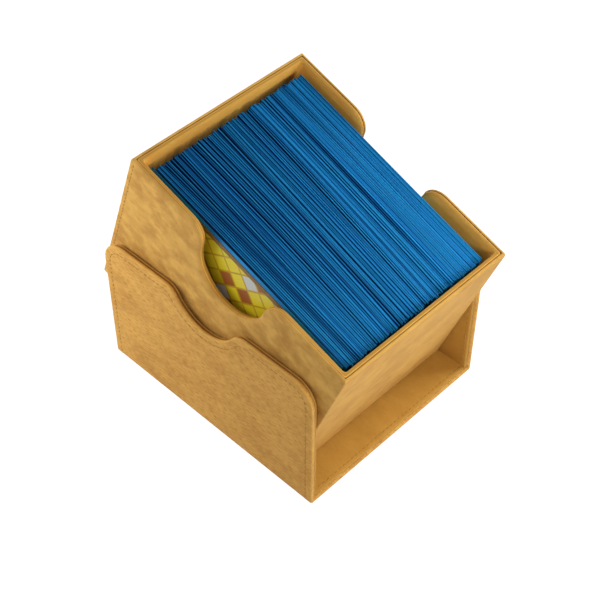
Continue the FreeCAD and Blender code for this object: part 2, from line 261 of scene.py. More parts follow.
# Below this height the lattice of a side wall has level rows
LEVEL_HEIGHT = 40.0
WALL_HEIGHTS = (32.0, 24.0, 16.0, 9.0, 4.5)
WALL_SHARES = (0.0, 0.2, 0.45, 0.72, 1.0)
FLOOR_PLACES = (34.0, 25.5, 17.0, 8.5)
FLOOR_LINING_STEPS = 12


def climb(height):
    """Place in the flat pattern of a point on the right wall."""
    return height - FOLD + FLOOR_FLAT + FOLD_RUN


def case_rows(distance):
    """Lattice of the case's skin in its flat pattern: down one wall, across the floor and up the other."""
    edge = case_edge_at(distance)
    wall = []
    for share in WALL_SHARES:
        wall.append([(climb(z + (LEVEL_HEIGHT - z) * share), y) for y, z in edge])
    across = [climb(height) for height in WALL_HEIGHTS]
    across += [FLOOR_FLAT + FOLD_RUN * k / FOLD_STEPS for k in range(FOLD_STEPS, -1, -1)]
    across += FLOOR_PLACES
    wall += [[(u, y) for y, z in edge] for u in across]
    middle = [[(0.0, y) for y, z in edge]]
    return wall + middle + [[(-u, y) for u, y in row] for row in reversed(wall)]


def case_place(u, y, depth):
    """A point of the case's flat pattern in space, that far inside the outer face. Deeper than the fold's
    radius, the floor and the wall meet in a sharp corner."""
    side = math.copysign(1, u)
    corner = max(FOLD, depth)
    flat_end = CASE_HALF_WIDTH - corner
    past_floor = abs(u) - FLOOR_FLAT
    if past_floor <= 0:
        return (side * min(abs(u), flat_end), y, depth)
    if past_floor < FOLD_RUN:
        turn = past_floor / FOLD
        reach = corner - depth
        return (side * (flat_end + reach * math.sin(turn)), y, corner - reach * math.cos(turn))
    return (side * (CASE_HALF_WIDTH - depth), y, max(corner, FOLD + past_floor - FOLD_RUN))


# Share of the painted seam shade that is left at the case's front and rear ends
LEAST_PAINTED_SEAM_SHADE = 0.2


def case_painted_seam_shade(across, y):
    """How much painted shade a seam gets there: all of it along the upper edges, less towards the case's
    front and rear ends.
    """
    shade_fade = max(0.0, abs(y) - CASE_HALF_LENGTH + CASE_CORNER) / CASE_CORNER
    return 1 - (1 - LEAST_PAINTED_SEAM_SHADE) * min(1.0, shade_fade)


CASE_STITCH_INSET = 3.0
# Steps over the edge of the case's skin: inset, depth, tone
# Tone above 0 makes the rounded edge paler, partly wear and partly a painted highlight; tone below 0 is
# painted shade in the stitch line and in the seam to the lining
CASE_SKIN_PROFILE = (
    (3.9, 0.0, 0.0), (3.4, 0.0, 0.0), (CASE_STITCH_INSET, 0.08, -0.1), (2.6, 0.0, 0.0), (1.7, -0.04, 0.1),
    (0.8, 0.0, 0.2), (0.36, 0.08, 0.5), (0.1, 0.28, 0.8), (0.0, 0.6, 0.6), (0.02, 0.9, 0.0),
    (0.12, 1.22, -0.4), (0.32, 1.48, -0.8), (0.56, 1.7, -1.0), (0.66, 2.05, -1.0), (2.3, 2.05, -1.0),
)


def side_lining_rows(distance):
    """Lattice of the lining of a side wall, as (height, y)."""
    edge = case_edge_at(LINING_SETBACK + distance)
    rows = []
    for share in WALL_SHARES:
        rows.append([(z + (LEVEL_HEIGHT - z) * share, y) for y, z in edge])
    heights = WALL_HEIGHTS[:-1] + (CASE_FLOOR_TOP + distance,)
    return rows + [[(height, y) for y, z in edge] for height in heights]


def side_lining_place(side):
    """What puts a point of a side wall's lining in space, for the left wall, -1, or the right one, 1."""
    face = CASE_HALF_WIDTH - CASE_SHELL - CASE_LINING
    return lambda height, y, depth: (side * (face + depth), y, height)


def floor_lining_rows(distance):
    """Lattice of the lining of the floor, as (x, y)."""
    half_width = CASE_HALF_WIDTH - CASE_SHELL - distance
    half_length = CASE_HALF_LENGTH - LINING_SETBACK - distance
    steps = [2 * k / FLOOR_LINING_STEPS - 1 for k in range(FLOOR_LINING_STEPS + 1)]
    return [[(half_width * a, half_length * b) for b in steps] for a in steps]


def floor_lining_place(x, y, depth):
    """A point of the floor's lining in space."""
    return (x, y, CASE_FLOOR_TOP - depth)


LINING_STITCH_INSET = 1.6


def lining_profile(thickness):
    """Steps over the edge of a lining: inset, depth, tone. The tone makes the rounded edge paler, partly
    wear and partly a painted highlight, and is painted shade in the stitch line and the seam.
    """
    return (
        (2.4, 0.0, 0.0), (2.0, 0.0, 0.0), (LINING_STITCH_INSET, 0.06, -0.15), (1.2, 0.0, 0.0),
        (0.6, 0.02, 0.2), (0.25, 0.1, 0.4), (0.06, 0.22 * thickness, 0.3), (0.0, 0.5 * thickness, -0.2),
        (0.0, thickness, -1.0), (1.0, thickness, -1.0),
    )


# Drawer

# Corners of the skin, which get tighter inwards, and of the lining, which get wider past a depth
DRAWER_CORNER = 0.5
LEAST_CORNER = 0.3
LINING_CORNER = 0.5
LINING_CORNER_START = 0.95
LINING_CORNER_GROWTH = 0.35
CORNER_STEPS = 6
WALL_END = DRAWER_HALF_WIDTH - RUN_STEP
WALL_COUNT = 16
ACROSS = [WALL_END - 2 * WALL_END * k / WALL_COUNT for k in range(WALL_COUNT + 1)]
# Perimeter of the flat pattern up to each corner, starting at the front end of the right wall
RIGHT_RUN = DRAWER_LENGTH
REAR_RUN = RIGHT_RUN + 2 * DRAWER_HALF_WIDTH
LEFT_RUN = REAR_RUN + DRAWER_LENGTH
FRONT_RUN = LEFT_RUN + 2 * DRAWER_HALF_WIDTH
# Rows of the drawer's walls below this inset are level
LOWEST_INSET = 3.2
# The painted shade in the seam of the rim fades over this drop into a thumb notch, to this share
NOTCH_FADE = 4.0
NOTCH_SEAM = 0.15


def lean(x, along, height):
    """A point of the upright drawer where it stands in the case."""
    y = TOE_Y + along * math.cos(TILT) - height * math.sin(TILT)
    z = TOE_Z + along * math.sin(TILT) + height * math.cos(TILT)
    return (x, y, z)


def drawer_loop(depth, corner, side):
    """One closed row round the drawer, as (x, along, height, place in the perimeter). depth is how far it
    lies inside the outer faces, corner its radius there, and side the (along, height) points of a wall."""
    x, centre = DRAWER_HALF_WIDTH - depth, depth + corner
    height = side[0][1]
    flat_half = DRAWER_HALF_WIDTH - centre
    loop = []

    def wall(right, perimeter):
        for along, high in side if right > 0 else reversed(side):
            between = min(max(along, centre), DRAWER_LENGTH - centre)
            loop.append((right * x, between, high, perimeter + right * along))

    def end(right, along):
        perimeter = RIGHT_RUN if right > 0 else LEFT_RUN
        for a in ACROSS:
            between = min(max(a, -flat_half), flat_half)
            loop.append((right * between, along, height, perimeter + DRAWER_HALF_WIDTH - a))

    def turn(right, rear, start, perimeter):
        middle_x = right * flat_half
        middle = DRAWER_LENGTH - centre if rear else centre
        for k in range(CORNER_STEPS + 1):
            angle = math.radians(start + 90 * k / CORNER_STEPS)
            at = perimeter + centre * (2 * k / CORNER_STEPS - 1)
            spot = (middle_x + corner * math.cos(angle), middle + corner * math.sin(angle))
            loop.append(spot + (height, at % FRONT_RUN))

    wall(1, 0)
    turn(1, True, 0, RIGHT_RUN)
    end(1, DRAWER_LENGTH - depth)
    turn(-1, True, 90, REAR_RUN)
    wall(-1, LEFT_RUN)
    turn(-1, False, 180, LEFT_RUN)
    end(-1, depth)
    turn(1, False, 270, FRONT_RUN)
    return loop


def tub(rows, corner_at):
    """A closed shell round the drawer. rows are (how, measure, depth, tone) from its underside up, over the
    rim and down to its inner floor, where measure is an inset from the rim or a level."""
    shape = Shape()
    wall = drawer_edge_at(LOWEST_INSET)
    ring = None
    for how, measure, depth, tone in rows:
        if how == "inset":
            side = drawer_edge_at(measure)
        else:
            side = [(along, measure) for along, height in wall]
        following = []
        for x, along, height, perimeter in drawer_loop(depth, corner_at(depth), side):
            shade_fade = min(1.0, (side[0][1] - height) / NOTCH_FADE) if tone < 0 else 0.0
            painted_seam_shade = tone * (1 - (1 - NOTCH_SEAM) * shade_fade)
            following.append(shape.add(lean(x, along, height), (height, perimeter, depth), painted_seam_shade))
        if ring:
            shape.strip(ring, following)
        else:
            shape.faces.append(tuple(following))
        ring = following
    shape.faces.append(tuple(ring))
    return shape


# Rows of the drawer's skin and of its lining, as tub takes them
# Tone above 0 takes the edge colour: on the skin paler edges, partly wear and partly a painted highlight,
# on the
# lining's rim painted shade. Tone below 0 is painted shade in the rim's seam and in the lining's crease at
# the floor.
DRAWER_SKIN_ROWS = (
    ("level", 0.0, 6.0, 0.0), ("level", 0.0, 0.9, 0.2), ("level", 0.07, 0.56, 0.4),
    ("level", 0.26, 0.26, 0.7), ("level", 0.56, 0.07, 0.5), ("level", 0.9, 0.0, 0.2),
    ("level", 3.0, 0.0, 0.0), ("level", 12.0, 0.0, 0.0), ("level", 24.0, 0.0, 0.0),
    ("level", 36.0, 0.0, 0.0), ("level", 44.0, 0.0, 0.0), ("inset", LOWEST_INSET, 0.0, 0.0),
    ("inset", 2.2, 0.0, 0.0), ("inset", 1.3, 0.03, 0.1), ("inset", 0.8, 0.12, 0.3),
    ("inset", 0.4, 0.3, 0.5), ("inset", 0.12, 0.58, 0.6), ("inset", 0.02, 0.86, 0.5),
    ("inset", 0.04, 1.04, 0.2), ("inset", 0.16, 1.18, -0.3), ("inset", 0.36, 1.26, -1.0),
    ("inset", 0.46, 1.26, -1.0), ("inset", 0.48, 1.0, -1.0), ("level", 44.0, 1.0, -1.0),
    ("level", 1.0, 1.0, -1.0), ("level", 1.0, 6.0, -1.0),
)
DRAWER_LINING_ROWS = (
    ("level", 2.5, 8.0, -1.0), ("level", 2.5, 2.56, -1.0), ("level", 44.0, 2.56, -1.0),
    ("inset", 0.6, 2.45, -1.0), ("inset", 0.48, 1.2, -1.0), ("inset", 0.45, 1.3, -1.0),
    ("inset", 0.39, 1.42, -0.9), ("inset", 0.33, 1.56, -0.2), ("inset", 0.3, 1.76, 0.8),
    ("inset", 0.32, 2.1, 1.0), ("inset", 0.36, 2.6, 0.8), ("inset", 0.64, 2.84, 0.5),
    ("inset", 1.2, 2.95, 0.2), ("inset", 2.1, 3.0, 0.0), ("inset", LOWEST_INSET, 3.0, 0.0),
    ("level", 44.0, 3.0, 0.0), ("level", 36.0, 3.0, 0.0), ("level", 24.0, 3.0, 0.0),
    ("level", 12.0, 3.0, 0.0), ("level", 4.6, 3.0, 0.0), ("level", 3.5, 3.15, -0.3),
    ("level", 3.1, 3.6, -0.3), ("level", 3.0, 4.4, 0.0), ("level", 3.0, 8.0, 0.0),
)


def skin_corner(depth):
    """Radius of the skin's corners at a depth."""
    return max(DRAWER_CORNER - depth, LEAST_CORNER)


def lining_corner(depth):
    """Radius of the lining's corners at a depth."""
    return LINING_CORNER + LINING_CORNER_GROWTH * max(depth - LINING_CORNER_START, 0)


# Stitching

STITCH_PITCH = 2.1
STITCH_LENGTH = 1.55
THREAD = 0.17
# How far stitches slant, in degrees, and how their lengths vary
STITCH_SLANT = (2, 9)
STITCH_STRETCH = (0.92, 1.06)
# Sections along a stitch: share of its half length, height over the surface, share of the thread's radius
STITCH_SECTIONS = (
    (-1.0, -0.16, 0.6), (-0.72, 0.02, 0.95), (0.0, 0.07, 1.0), (0.72, 0.02, 0.95), (1.0, -0.16, 0.6),
)
STITCH_SIDES = 6
# How deep the thread lies in each surface, and the gap from a seam on the floor to the side linings
CASE_STITCH_DEPTH = 0.1
LINING_STITCH_DEPTH = 0.06
DRAWER_STITCH_DEPTH = 0.04
FLOOR_STITCH_GAP = 0.5


def along_path(path, start, step):
    """Points and directions at equal steps along a line of flat points."""
    travelled, wanted, found = 0.0, start, []
    for a, b in zip(path, path[1:]):
        length = math.dist(a, b)
        while length > 0 and wanted <= travelled + length:
            share = (wanted - travelled) / length
            point = Vector(a).lerp(Vector(b), share)
            found.append((point, (Vector(b) - Vector(a)) / length))
            wanted += step
        travelled += length
    return found


def sew(shape, path, depth, place, chance):
    """Stitches of thread along a line of flat points on a surface."""
    for middle, direction in along_path(path, STITCH_PITCH / 2, STITCH_PITCH):
        turned = Vector((direction.x, direction.y))
        turned.rotate(Matrix.Rotation(math.radians(chance.uniform(*STITCH_SLANT)), 2))
        across = Vector((-turned.y, turned.x))
        length = STITCH_LENGTH * chance.uniform(*STITCH_STRETCH)
        ring = None
        for share, rise, thick in STITCH_SECTIONS:
            spot = middle + turned * share * length / 2
            following = []
            for k in range(STITCH_SIDES):
                angle = 2 * math.pi * k / STITCH_SIDES
                flat = spot + across * THREAD * thick * math.cos(angle)
                deep = depth - rise - THREAD * thick * math.sin(angle)
                following.append(shape.add(place(flat.x, flat.y, deep), (flat.x, flat.y, deep)))
            if ring:
                shape.strip(ring, following)
            else:
                shape.faces.append(tuple(following))
            ring = following
        shape.faces.append(tuple(ring))


# Materials

class Finish:
    """A material whose colour, roughness and bump come from texture nodes."""

    def __init__(self, name, sockets, flat=True):
        self.material = bpy.data.materials.new(name)
        self.material.use_nodes = True
        self.tree = self.material.node_tree
        self.shader = self.tree.nodes["Principled BSDF"]
        for socket, value in sockets.items():
            self.shader.inputs[socket].default_value = value
        if flat:
            self.place = self.add("Attribute", attribute_name="flat").outputs["Vector"]
        else:
            self.place = self.add("TexCoord").outputs["Object"]

    def add(self, kind, inputs=None, **settings):
        node = self.tree.nodes.new("ShaderNode" + kind)
        for name, value in settings.items():
            setattr(node, name, value)
        for key, value in (inputs or {}).items():
            self.give(node.inputs[key], value)
        return node

    def give(self, socket, value):
        if isinstance(value, bpy.types.NodeSocket):
            self.tree.links.new(value, socket)
        else:
            socket.default_value = value

    def attribute(self, name):
        return self.add("Attribute", attribute_name=name).outputs["Fac"]

    def noise(self, size, stretch=(1, 1, 1), detail=3.0, coarse=0.55):
        """Noise with features of that size in millimetres, drawn out along each axis as stretch says."""
        scale = [1 / (size * MM * share) for share in stretch]
        spot = self.add("Mapping", {"Vector": self.place, "Scale": scale}).outputs["Vector"]
        inputs = {"Vector": spot, "Scale": 1.0, "Detail": detail, "Roughness": coarse}
        return self.add("TexNoise", inputs).outputs["Fac"]

    def spread(self, value, low, high, start=0.0, end=1.0):
        """A value from low to high brought to start to end."""
        inputs = {"Value": value, "From Min": low, "From Max": high, "To Min": start, "To Max": end}
        return self.add("MapRange", inputs).outputs["Result"]

    def math(self, operation, first, second):
        return self.add("Math", {0: first, 1: second}, operation=operation).outputs[0]

    def mix(self, share, first, second, blend="MIX"):
        node = self.add("Mix", {0: share, 6: first, 7: second}, data_type="RGBA", blend_type=blend)
        return node.outputs[2]

    def colour(self, value):
        self.give(self.shader.inputs["Base Color"], value)

    def roughness(self, value):
        self.give(self.shader.inputs["Roughness"], value)

    def bump(self, height, distance, strength):
        inputs = {"Height": height, "Distance": distance * MM, "Strength": strength}
        self.give(self.shader.inputs["Normal"], self.add("Bump", inputs).outputs["Normal"])


def rgb(red, green, blue):
    """A colour as written in a drawing program, for a socket."""
    def linear(value):
        share = value / 255
        return share / 12.92 if share <= 0.04045 else ((share + 0.055) / 1.055) ** 2.4
    return (linear(red), linear(green), linear(blue), 1.0)


# Share of the mottles' strength where they are fainter
FAINTER = 0.35
# Size of the diamonds on the printed card
DIAMOND = 6.0


def leather(name, dark, light, edge, painted_groove_shade, dashes=1.0, mottle=1.0, drawn_out=1.6, smooth_past=None):
    """Brushed leatherette: clouds, wispy mottles, fine short dashes, an edge colour along the edges and
    painted shade in the seams. The edge colour makes edges paler, partly wear and partly a painted
    highlight, and on the drawer lining's rim it is a painted shade.
    drawn_out is how many times longer than wide the mottles are. They are fainter past the place
    smooth_past along the flat pattern."""
    finish = Finish(name, {"Specular IOR Level": 0.1, "Sheen Weight": 0.03, "Sheen Roughness": 0.5})
    clouds = finish.noise(20.0, (1, 1.5, 1), detail=3.0, coarse=0.5)
    patches = finish.noise(5.0, (1, drawn_out, 1), detail=6.0, coarse=0.63)
    dash = finish.noise(0.5, (1, 5, 1), detail=1.0)
    grain = finish.noise(0.35, detail=1.5)
    middle = tuple((a + b) / 2 for a, b in zip(dark, light))
    base = finish.mix(finish.spread(clouds, 0.35, 0.65, 0.0, 0.65), middle, light)
    if smooth_past:
        along = finish.add("SeparateXYZ", {0: finish.place}).outputs["Y"]
        past = (smooth_past * MM, (smooth_past + 1) * MM)
        mottle = finish.spread(along, *past, mottle, FAINTER * mottle)
    lighter = finish.math("MULTIPLY", finish.spread(patches, 0.48, 0.62), mottle)
    darker = finish.math("MULTIPLY", finish.spread(patches, 0.47, 0.33, 0.0, 0.45), mottle)
    base = finish.mix(lighter, base, light)
    base = finish.mix(darker, base, dark)
    base = finish.mix(finish.spread(dash, 0.48, 0.75, 0.0, 0.7 * dashes), base, dark)
    base = finish.mix(finish.spread(dash, 0.46, 0.25, 0.0, 0.6 * dashes), base, light)
    # Tone above 0 mixes in the edge colour, tone below 0 the painted shade of seams, stitch lines and
    # creases
    tone = finish.attribute("tone")
    base = finish.mix(finish.spread(tone, 0.1, 1.0, 0.0, 0.8), base, edge)
    base = finish.mix(finish.spread(tone, -0.05, -1.0, 0.0, 0.85), base, painted_groove_shade)
    finish.colour(base)
    finish.roughness(finish.spread(finish.math("ADD", grain, dash), 0.6, 1.4, 0.6, 0.82))
    height = finish.math("ADD", finish.math("MULTIPLY", dash, dashes), grain)
    height = finish.math("ADD", height, finish.math("MULTIPLY", patches, mottle))
    finish.bump(height, 0.1, 0.5)
    return finish.material


def thread(name, dark, light):
    """Twisted sewing thread."""
    finish = Finish(name, {"Specular IOR Level": 0.15})
    twist = finish.noise(0.16, (1, 1.5, 1), detail=2.0)
    worn = finish.noise(5.0)
    base = finish.mix(finish.spread(twist, 0.35, 0.65), dark, light)
    finish.colour(finish.mix(finish.spread(worn, 0.4, 0.7, 0.0, 0.4), base, dark))
    finish.roughness(finish.spread(twist, 0.3, 0.7, 0.55, 0.8))
    finish.bump(twist, 0.05, 0.6)
    return finish.material


def sleeve_plastic(name, dark, middle, light):
    """Matte coloured film. Each card has a tone of its own, random and with painted light: painted shade
    between the cards, a painted highlight along each ridge, painted light to the deck's right and painted
    shade to the rear. Fine lines run along its edges.
    """
    finish = Finish(name, {"Specular IOR Level": 0.08})
    tone = finish.attribute("tone")
    lines = finish.noise(0.4, (1, 300, 200), detail=3.0)
    drift = finish.noise(3.0, (1, 16, 12), detail=2.0)
    share = finish.math("ADD", tone, finish.spread(lines, 0.3, 0.7, -0.6, 0.6))
    share = finish.math("ADD", share, finish.spread(drift, 0.3, 0.7, -0.08, 0.08))
    base = finish.mix(finish.spread(share, -0.1, 0.6), dark, middle)
    finish.colour(finish.mix(finish.spread(share, 0.65, 1.15), base, light))
    finish.roughness(finish.spread(drift, 0.3, 0.7, 0.36, 0.52))
    finish.bump(lines, 0.05, 0.4)
    return finish.material


def printed_card(name):
    """A printed card with a made-up lattice of diamonds in a few colours inside a plain border."""
    finish = Finish(name, {"Specular IOR Level": 0.15})
    turned = finish.add("Mapping", {"Vector": finish.place, "Rotation": (0, 0, math.radians(45))})
    lattice = {"Vector": turned.outputs["Vector"], "Scale": 1 / (DIAMOND * MM), "Randomness": 0.0}
    cells = finish.add("TexVoronoi", lattice, voronoi_dimensions="2D").outputs["Color"]
    pick = finish.add("SeparateColor", {0: cells}).outputs[0]
    edges = finish.add("TexVoronoi", lattice, voronoi_dimensions="2D", feature="DISTANCE_TO_EDGE")
    yellow, gold = rgb(222, 204, 40), rgb(186, 150, 34)
    base = finish.mix(finish.spread(pick, 0.55, 0.56), yellow, rgb(198, 202, 200))
    base = finish.mix(finish.spread(pick, 0.78, 0.79), base, rgb(154, 84, 42))
    base = finish.mix(finish.spread(edges.outputs["Distance"], 0.08, 0.04), base, gold)
    margin = finish.attribute("tone")
    base = finish.mix(finish.spread(margin, 0.45, 0.55), base, rgb(120, 92, 40))
    ink = finish.noise(0.4, detail=3.0)
    base = finish.mix(finish.spread(ink, 0.45, 0.75, 0.0, 0.25), base, gold)
    finish.colour(base)
    finish.roughness(finish.spread(ink, 0.3, 0.7, 0.3, 0.45))
    finish.bump(ink, 0.02, 0.2)
    return finish.material


def clear_film(name):
    """Clear film with fine scratches, which shows what is behind it and some gloss."""
    finish = Finish(name, {})
    scratches = finish.noise(0.15, (1, 40, 1), detail=2.0)
    gloss = finish.add("BsdfGlossy", {"Roughness": finish.spread(scratches, 0.4, 0.7, 0.12, 0.3)})
    clear = finish.add("BsdfTransparent")
    facing = finish.add("LayerWeight", {"Blend": 0.5}).outputs["Facing"]
    shine = finish.spread(facing, 0.4, 1.0, 0.002, 0.04)
    both = finish.add("MixShader", {0: shine, 1: clear.outputs[0], 2: gloss.outputs[0]})
    finish.tree.links.new(both.outputs[0], finish.tree.nodes["Material Output"].inputs["Surface"])
    finish.tree.nodes.remove(finish.shader)
    return finish.material


def pulp_board(name):
    """Grey bookbinder's board with paper fibres."""
    finish = Finish(name, {"Specular IOR Level": 0.2}, flat=False)
    fibres = finish.noise(0.5, (1, 3, 1), detail=4.0)
    pulp = finish.noise(4.0)
    base = finish.mix(finish.spread(fibres, 0.35, 0.65), rgb(150, 146, 138), rgb(184, 180, 172))
    finish.colour(finish.mix(finish.spread(pulp, 0.4, 0.7, 0.0, 0.5), base, rgb(168, 158, 140)))
    finish.roughness(finish.spread(fibres, 0.3, 0.7, 0.8, 0.95))
    finish.bump(fibres, 0.05, 0.4)
    return finish.material


def plated_steel(name):
    """Nickel plate with brushed lines."""
    finish = Finish(name, {"Metallic": 1.0}, flat=False)
    brushed = finish.noise(0.2, (1, 30, 1), detail=2.0)
    stains = finish.noise(3.0)
    base = finish.mix(finish.spread(brushed, 0.3, 0.7), rgb(196, 196, 198), rgb(218, 218, 220))
    finish.colour(finish.mix(finish.spread(stains, 0.5, 0.75, 0.0, 0.4), base, rgb(176, 172, 164)))
    finish.roughness(finish.spread(brushed, 0.3, 0.7, 0.22, 0.4))
    finish.bump(brushed, 0.02, 0.3)
    return finish.material


TAN_DARK, TAN_LIGHT = rgb(172, 115, 46), rgb(229, 178, 92)
CASE_LEATHER = leather(
    "case leatherette", TAN_DARK, TAN_LIGHT, rgb(224, 176, 92), rgb(134, 84, 30), mottle=0.5, drawn_out=3.0)
DRAWER_LEATHER = leather(
    "drawer leatherette", rgb(162, 108, 43), rgb(222, 174, 89), rgb(212, 164, 84), rgb(112, 70, 24),
    dashes=0.2, smooth_past=LEFT_RUN)
CASE_LINING_LEATHER = leather(
    "case lining", rgb(176, 130, 54), rgb(204, 158, 74), rgb(212, 166, 88), rgb(122, 76, 26),
    dashes=0.4, mottle=0.4)
# The drawer lining's colours are lighter and more orange than its rim's edge colour: painted light in its
# shaded
# insides and painted shade on its rim
DRAWER_LINING_WITH_PAINTED_LIGHT = leather(
    "drawer lining", rgb(236, 156, 60), rgb(252, 195, 91), rgb(160, 121, 55), rgb(100, 60, 18),
    dashes=0.4, mottle=0.6)
THREAD_FINISH = thread("sewing thread", rgb(150, 100, 40), rgb(212, 162, 82))
SLEEVE = sleeve_plastic("card sleeves", rgb(8, 30, 66), rgb(17, 115, 188), rgb(46, 172, 238))
PRINT = printed_card("printed card")
FILM = clear_film("clear film")
BOARD = pulp_board("greyboard")
STEEL = plated_steel("plated steel")

for node, made in frame["nodes"].items():
    made.data.materials.clear()
    made.data.materials.append(STEEL if node.endswith("_magnets") else BOARD)


# Pieces of the case

chance = random.Random(SEED)

plate(case_rows, CASE_SKIN_PROFILE, case_place, case_painted_seam_shade).piece(
    "case_skin", CASE_LEATHER, "case", "leatherette", ["case_wrap"])
for word, side in (("left", -1), ("right", 1)):
    lining = plate(side_lining_rows, lining_profile(CASE_LINING), side_lining_place(side), case_painted_seam_shade)
    lining.piece(f"case_{word}_inside", CASE_LINING_LEATHER, "case", "case_lining", [f"case_{word}_lining"])
floor_profile = lining_profile(CASE_FLOOR_TOP - CASE_SHELL)
floor_lining = plate(floor_lining_rows, floor_profile, floor_lining_place, case_painted_seam_shade)
floor_lining.piece("case_floor_inside", CASE_LINING_LEATHER, "case", "case_lining", ["case_floor_lining"])

seams = Shape()
outside = border(case_rows(CASE_STITCH_INSET))
sew(seams, outside + outside[:1], CASE_STITCH_DEPTH, case_place, chance)
edge = case_edge_at(LINING_SETBACK + LINING_STITCH_INSET)
foot = CASE_FLOOR_TOP + LINING_STITCH_INSET
inside = [(foot, edge[0][0])] + [(z, y) for y, z in edge] + [(foot, edge[-1][0])]
for side in (-1, 1):
    sew(seams, inside, LINING_STITCH_DEPTH, side_lining_place(side), chance)
reach = CASE_HALF_WIDTH - CASE_SHELL - CASE_LINING - FLOOR_STITCH_GAP
end = CASE_HALF_LENGTH - LINING_SETBACK - LINING_STITCH_INSET
for y in (-end, end):
    sew(seams, [(-reach, y), (reach, y)], LINING_STITCH_DEPTH, floor_lining_place, chance)
seams.piece("case_stitching", THREAD_FINISH, "case", "leatherette")


# Pieces of the drawer

tub(DRAWER_SKIN_ROWS, skin_corner).piece(
    "drawer_skin", DRAWER_LEATHER, "drawer", "leatherette", ["drawer_wrap"])
tub(DRAWER_LINING_ROWS, lining_corner).piece(
    "drawer_inside", DRAWER_LINING_WITH_PAINTED_LIGHT, "drawer", "drawer_lining",
    [f"drawer_{word}_lining" for word in ("floor", "front", "rear", "left", "right")])

DRAWER_STITCH_INSET = 1.8


def drawer_side_place(side):
    """What puts a flat point of a side wall of the drawer in space."""
    return lambda along, height, depth: lean(side * (DRAWER_HALF_WIDTH - depth), along, height)


seams = Shape()
rear = DRAWER_LENGTH - DRAWER_STITCH_INSET
line = [(rear, DRAWER_HEIGHT - DRAWER_STITCH_INSET), (rear, DRAWER_STITCH_INSET)]
for side in (-1, 1):
    sew(seams, line, DRAWER_STITCH_DEPTH, drawer_side_place(side), chance)
seams.piece("drawer_stitching", THREAD_FINISH, "drawer", "leatherette")


# Cards

# Shares of a card's length where its sleeve has a section. Two lie close to the ends, which stay crisp
SLEEVE_END = 0.006
SLEEVE_PARTS = 8
INNER_SHARES = [k / SLEEVE_PARTS for k in range(1, SLEEVE_PARTS)]
SLEEVE_SHARES = [0.0, SLEEVE_END] + INNER_SHARES + [1 - SLEEVE_END, 1.0]
SLEEVE_HALF = 0.27
# Widest gaps between the cards at their front ends, middles and rear ends, in cards. The power makes most
# of them small, and at the deck's right side they are less by a share
GAPS = (0.9, 1.8, 3.0)
GAP_POWER = 3
LESS_GAP = 0.8
# How much narrower the deck is there than the whole stack
NARROWER = (1.4, 0.6, 0.0)
# How much further forward the cards end in the rear at the deck's left side
REAR_SKEW = 0.8
# How far the cards' front ends stand out, their rear ends fall short, their tops differ and these bend
FRONT_ENDS = (0.7, 1.5)
REAR_ENDS = (0.0, 0.9)
TOPS = (-0.4, 0.4)
WAVES = (-0.1, 0.15)
# Tone of the darkest card, how far the others go above it, and how much painted light lightens the deck's
# right side
LEAST_TONE = 0.13
TONE_SPREAD = 0.34
PAINTED_LIGHT_TO_RIGHT = 0.25
# How much painted shade darkens a sleeve's rear end against its front end
PAINTED_SHADE_TO_REAR = 0.4
# Outline of a sleeve seen from its end: share of its half thickness, height from its foot or below its top,
# and how much lighter it is there: painted shade on the flanks between cards and a painted highlight on the
# ridge
SLEEVE_OUTLINE = (
    (-0.4, "foot", 0.0, -0.1), (-0.95, "foot", 0.5, -0.1), (-1.0, "top", 5.0, -0.1),
    (-0.97, "top", 2.2, -1.0), (-0.85, "top", 0.6, -0.45), (-0.35, "top", 0.06, 0.9),
    (0.35, "top", 0.06, -0.05), (0.85, "top", 0.6, -0.45), (0.97, "top", 2.2, -1.0),
    (1.0, "top", 5.0, -0.1), (0.95, "foot", 0.5, -0.1), (0.4, "foot", 0.0, -0.1),
)
# The end faces of a sleeve and its bare sides have this tone all over, without the outline's painted shade
# and highlight. An end face is plain inside a rim that lies this far within the outline
PLAIN_SIDE = -0.1
END_FACE_SHARE = 0.8
END_FACE_INSET = 0.15


def uneven(chance, count, total, gap):
    """Middles of things that lie side by side over a total width. The gaps between them are uneven, and
    narrower to the right."""
    widths = [1.0 + gap * (1 - LESS_GAP * k / count) * chance.random() ** GAP_POWER for k in range(count)]
    scale = total / sum(widths)
    middles, reach = [], 0.0
    for width in widths:
        middles.append(reach + width * scale / 2)
        reach += width * scale
    return middles


def sleeve(shape, middles, half, ends, top, tone, wave, bare=()):
    """One sleeve. middles are its x places at the front, the middle and the rear, and bare lists its sides,
    -1 for the left and 1 for the right, that get none of the outline's painted shade and highlight."""
    ring = None
    sections = [(share, False) for share in SLEEVE_SHARES]
    for share, end_face in [(0.0, True)] + sections + [(1.0, True)]:
        along = ends[0] + (ends[1] - ends[0]) * share
        weights = ((1 - share) ** 2, 2 * share * (1 - share), share ** 2)
        x = sum(weight * middle for weight, middle in zip(weights, middles))
        following = []
        for wide, start, distance, lighter in SLEEVE_OUTLINE:
            if end_face or math.copysign(1, wide) in bare:
                lighter = PLAIN_SIDE
            if end_face:
                wide *= END_FACE_SHARE
                distance += END_FACE_INSET
            if start == "foot":
                height = CARD_FOOT + distance
            else:
                height = top - distance + wave * math.sin(math.pi * share)
            # The sleeve's painted light: the outline's painted shade and highlight, and painted shade
            # growing towards the rear
            shade = tone + lighter + PAINTED_SHADE_TO_REAR * (0.5 - share)
            # The lines of the finish follow the sleeve, so this takes its place across at the front end
            flat = (middles[0] + wide * half, along, height)
            following.append(shape.add(lean(x + wide * half, along, height), flat, shade))
        if ring:
            shape.strip(ring, following)
        else:
            shape.faces.append(tuple(following))
        ring = following
    shape.faces.append(tuple(ring))


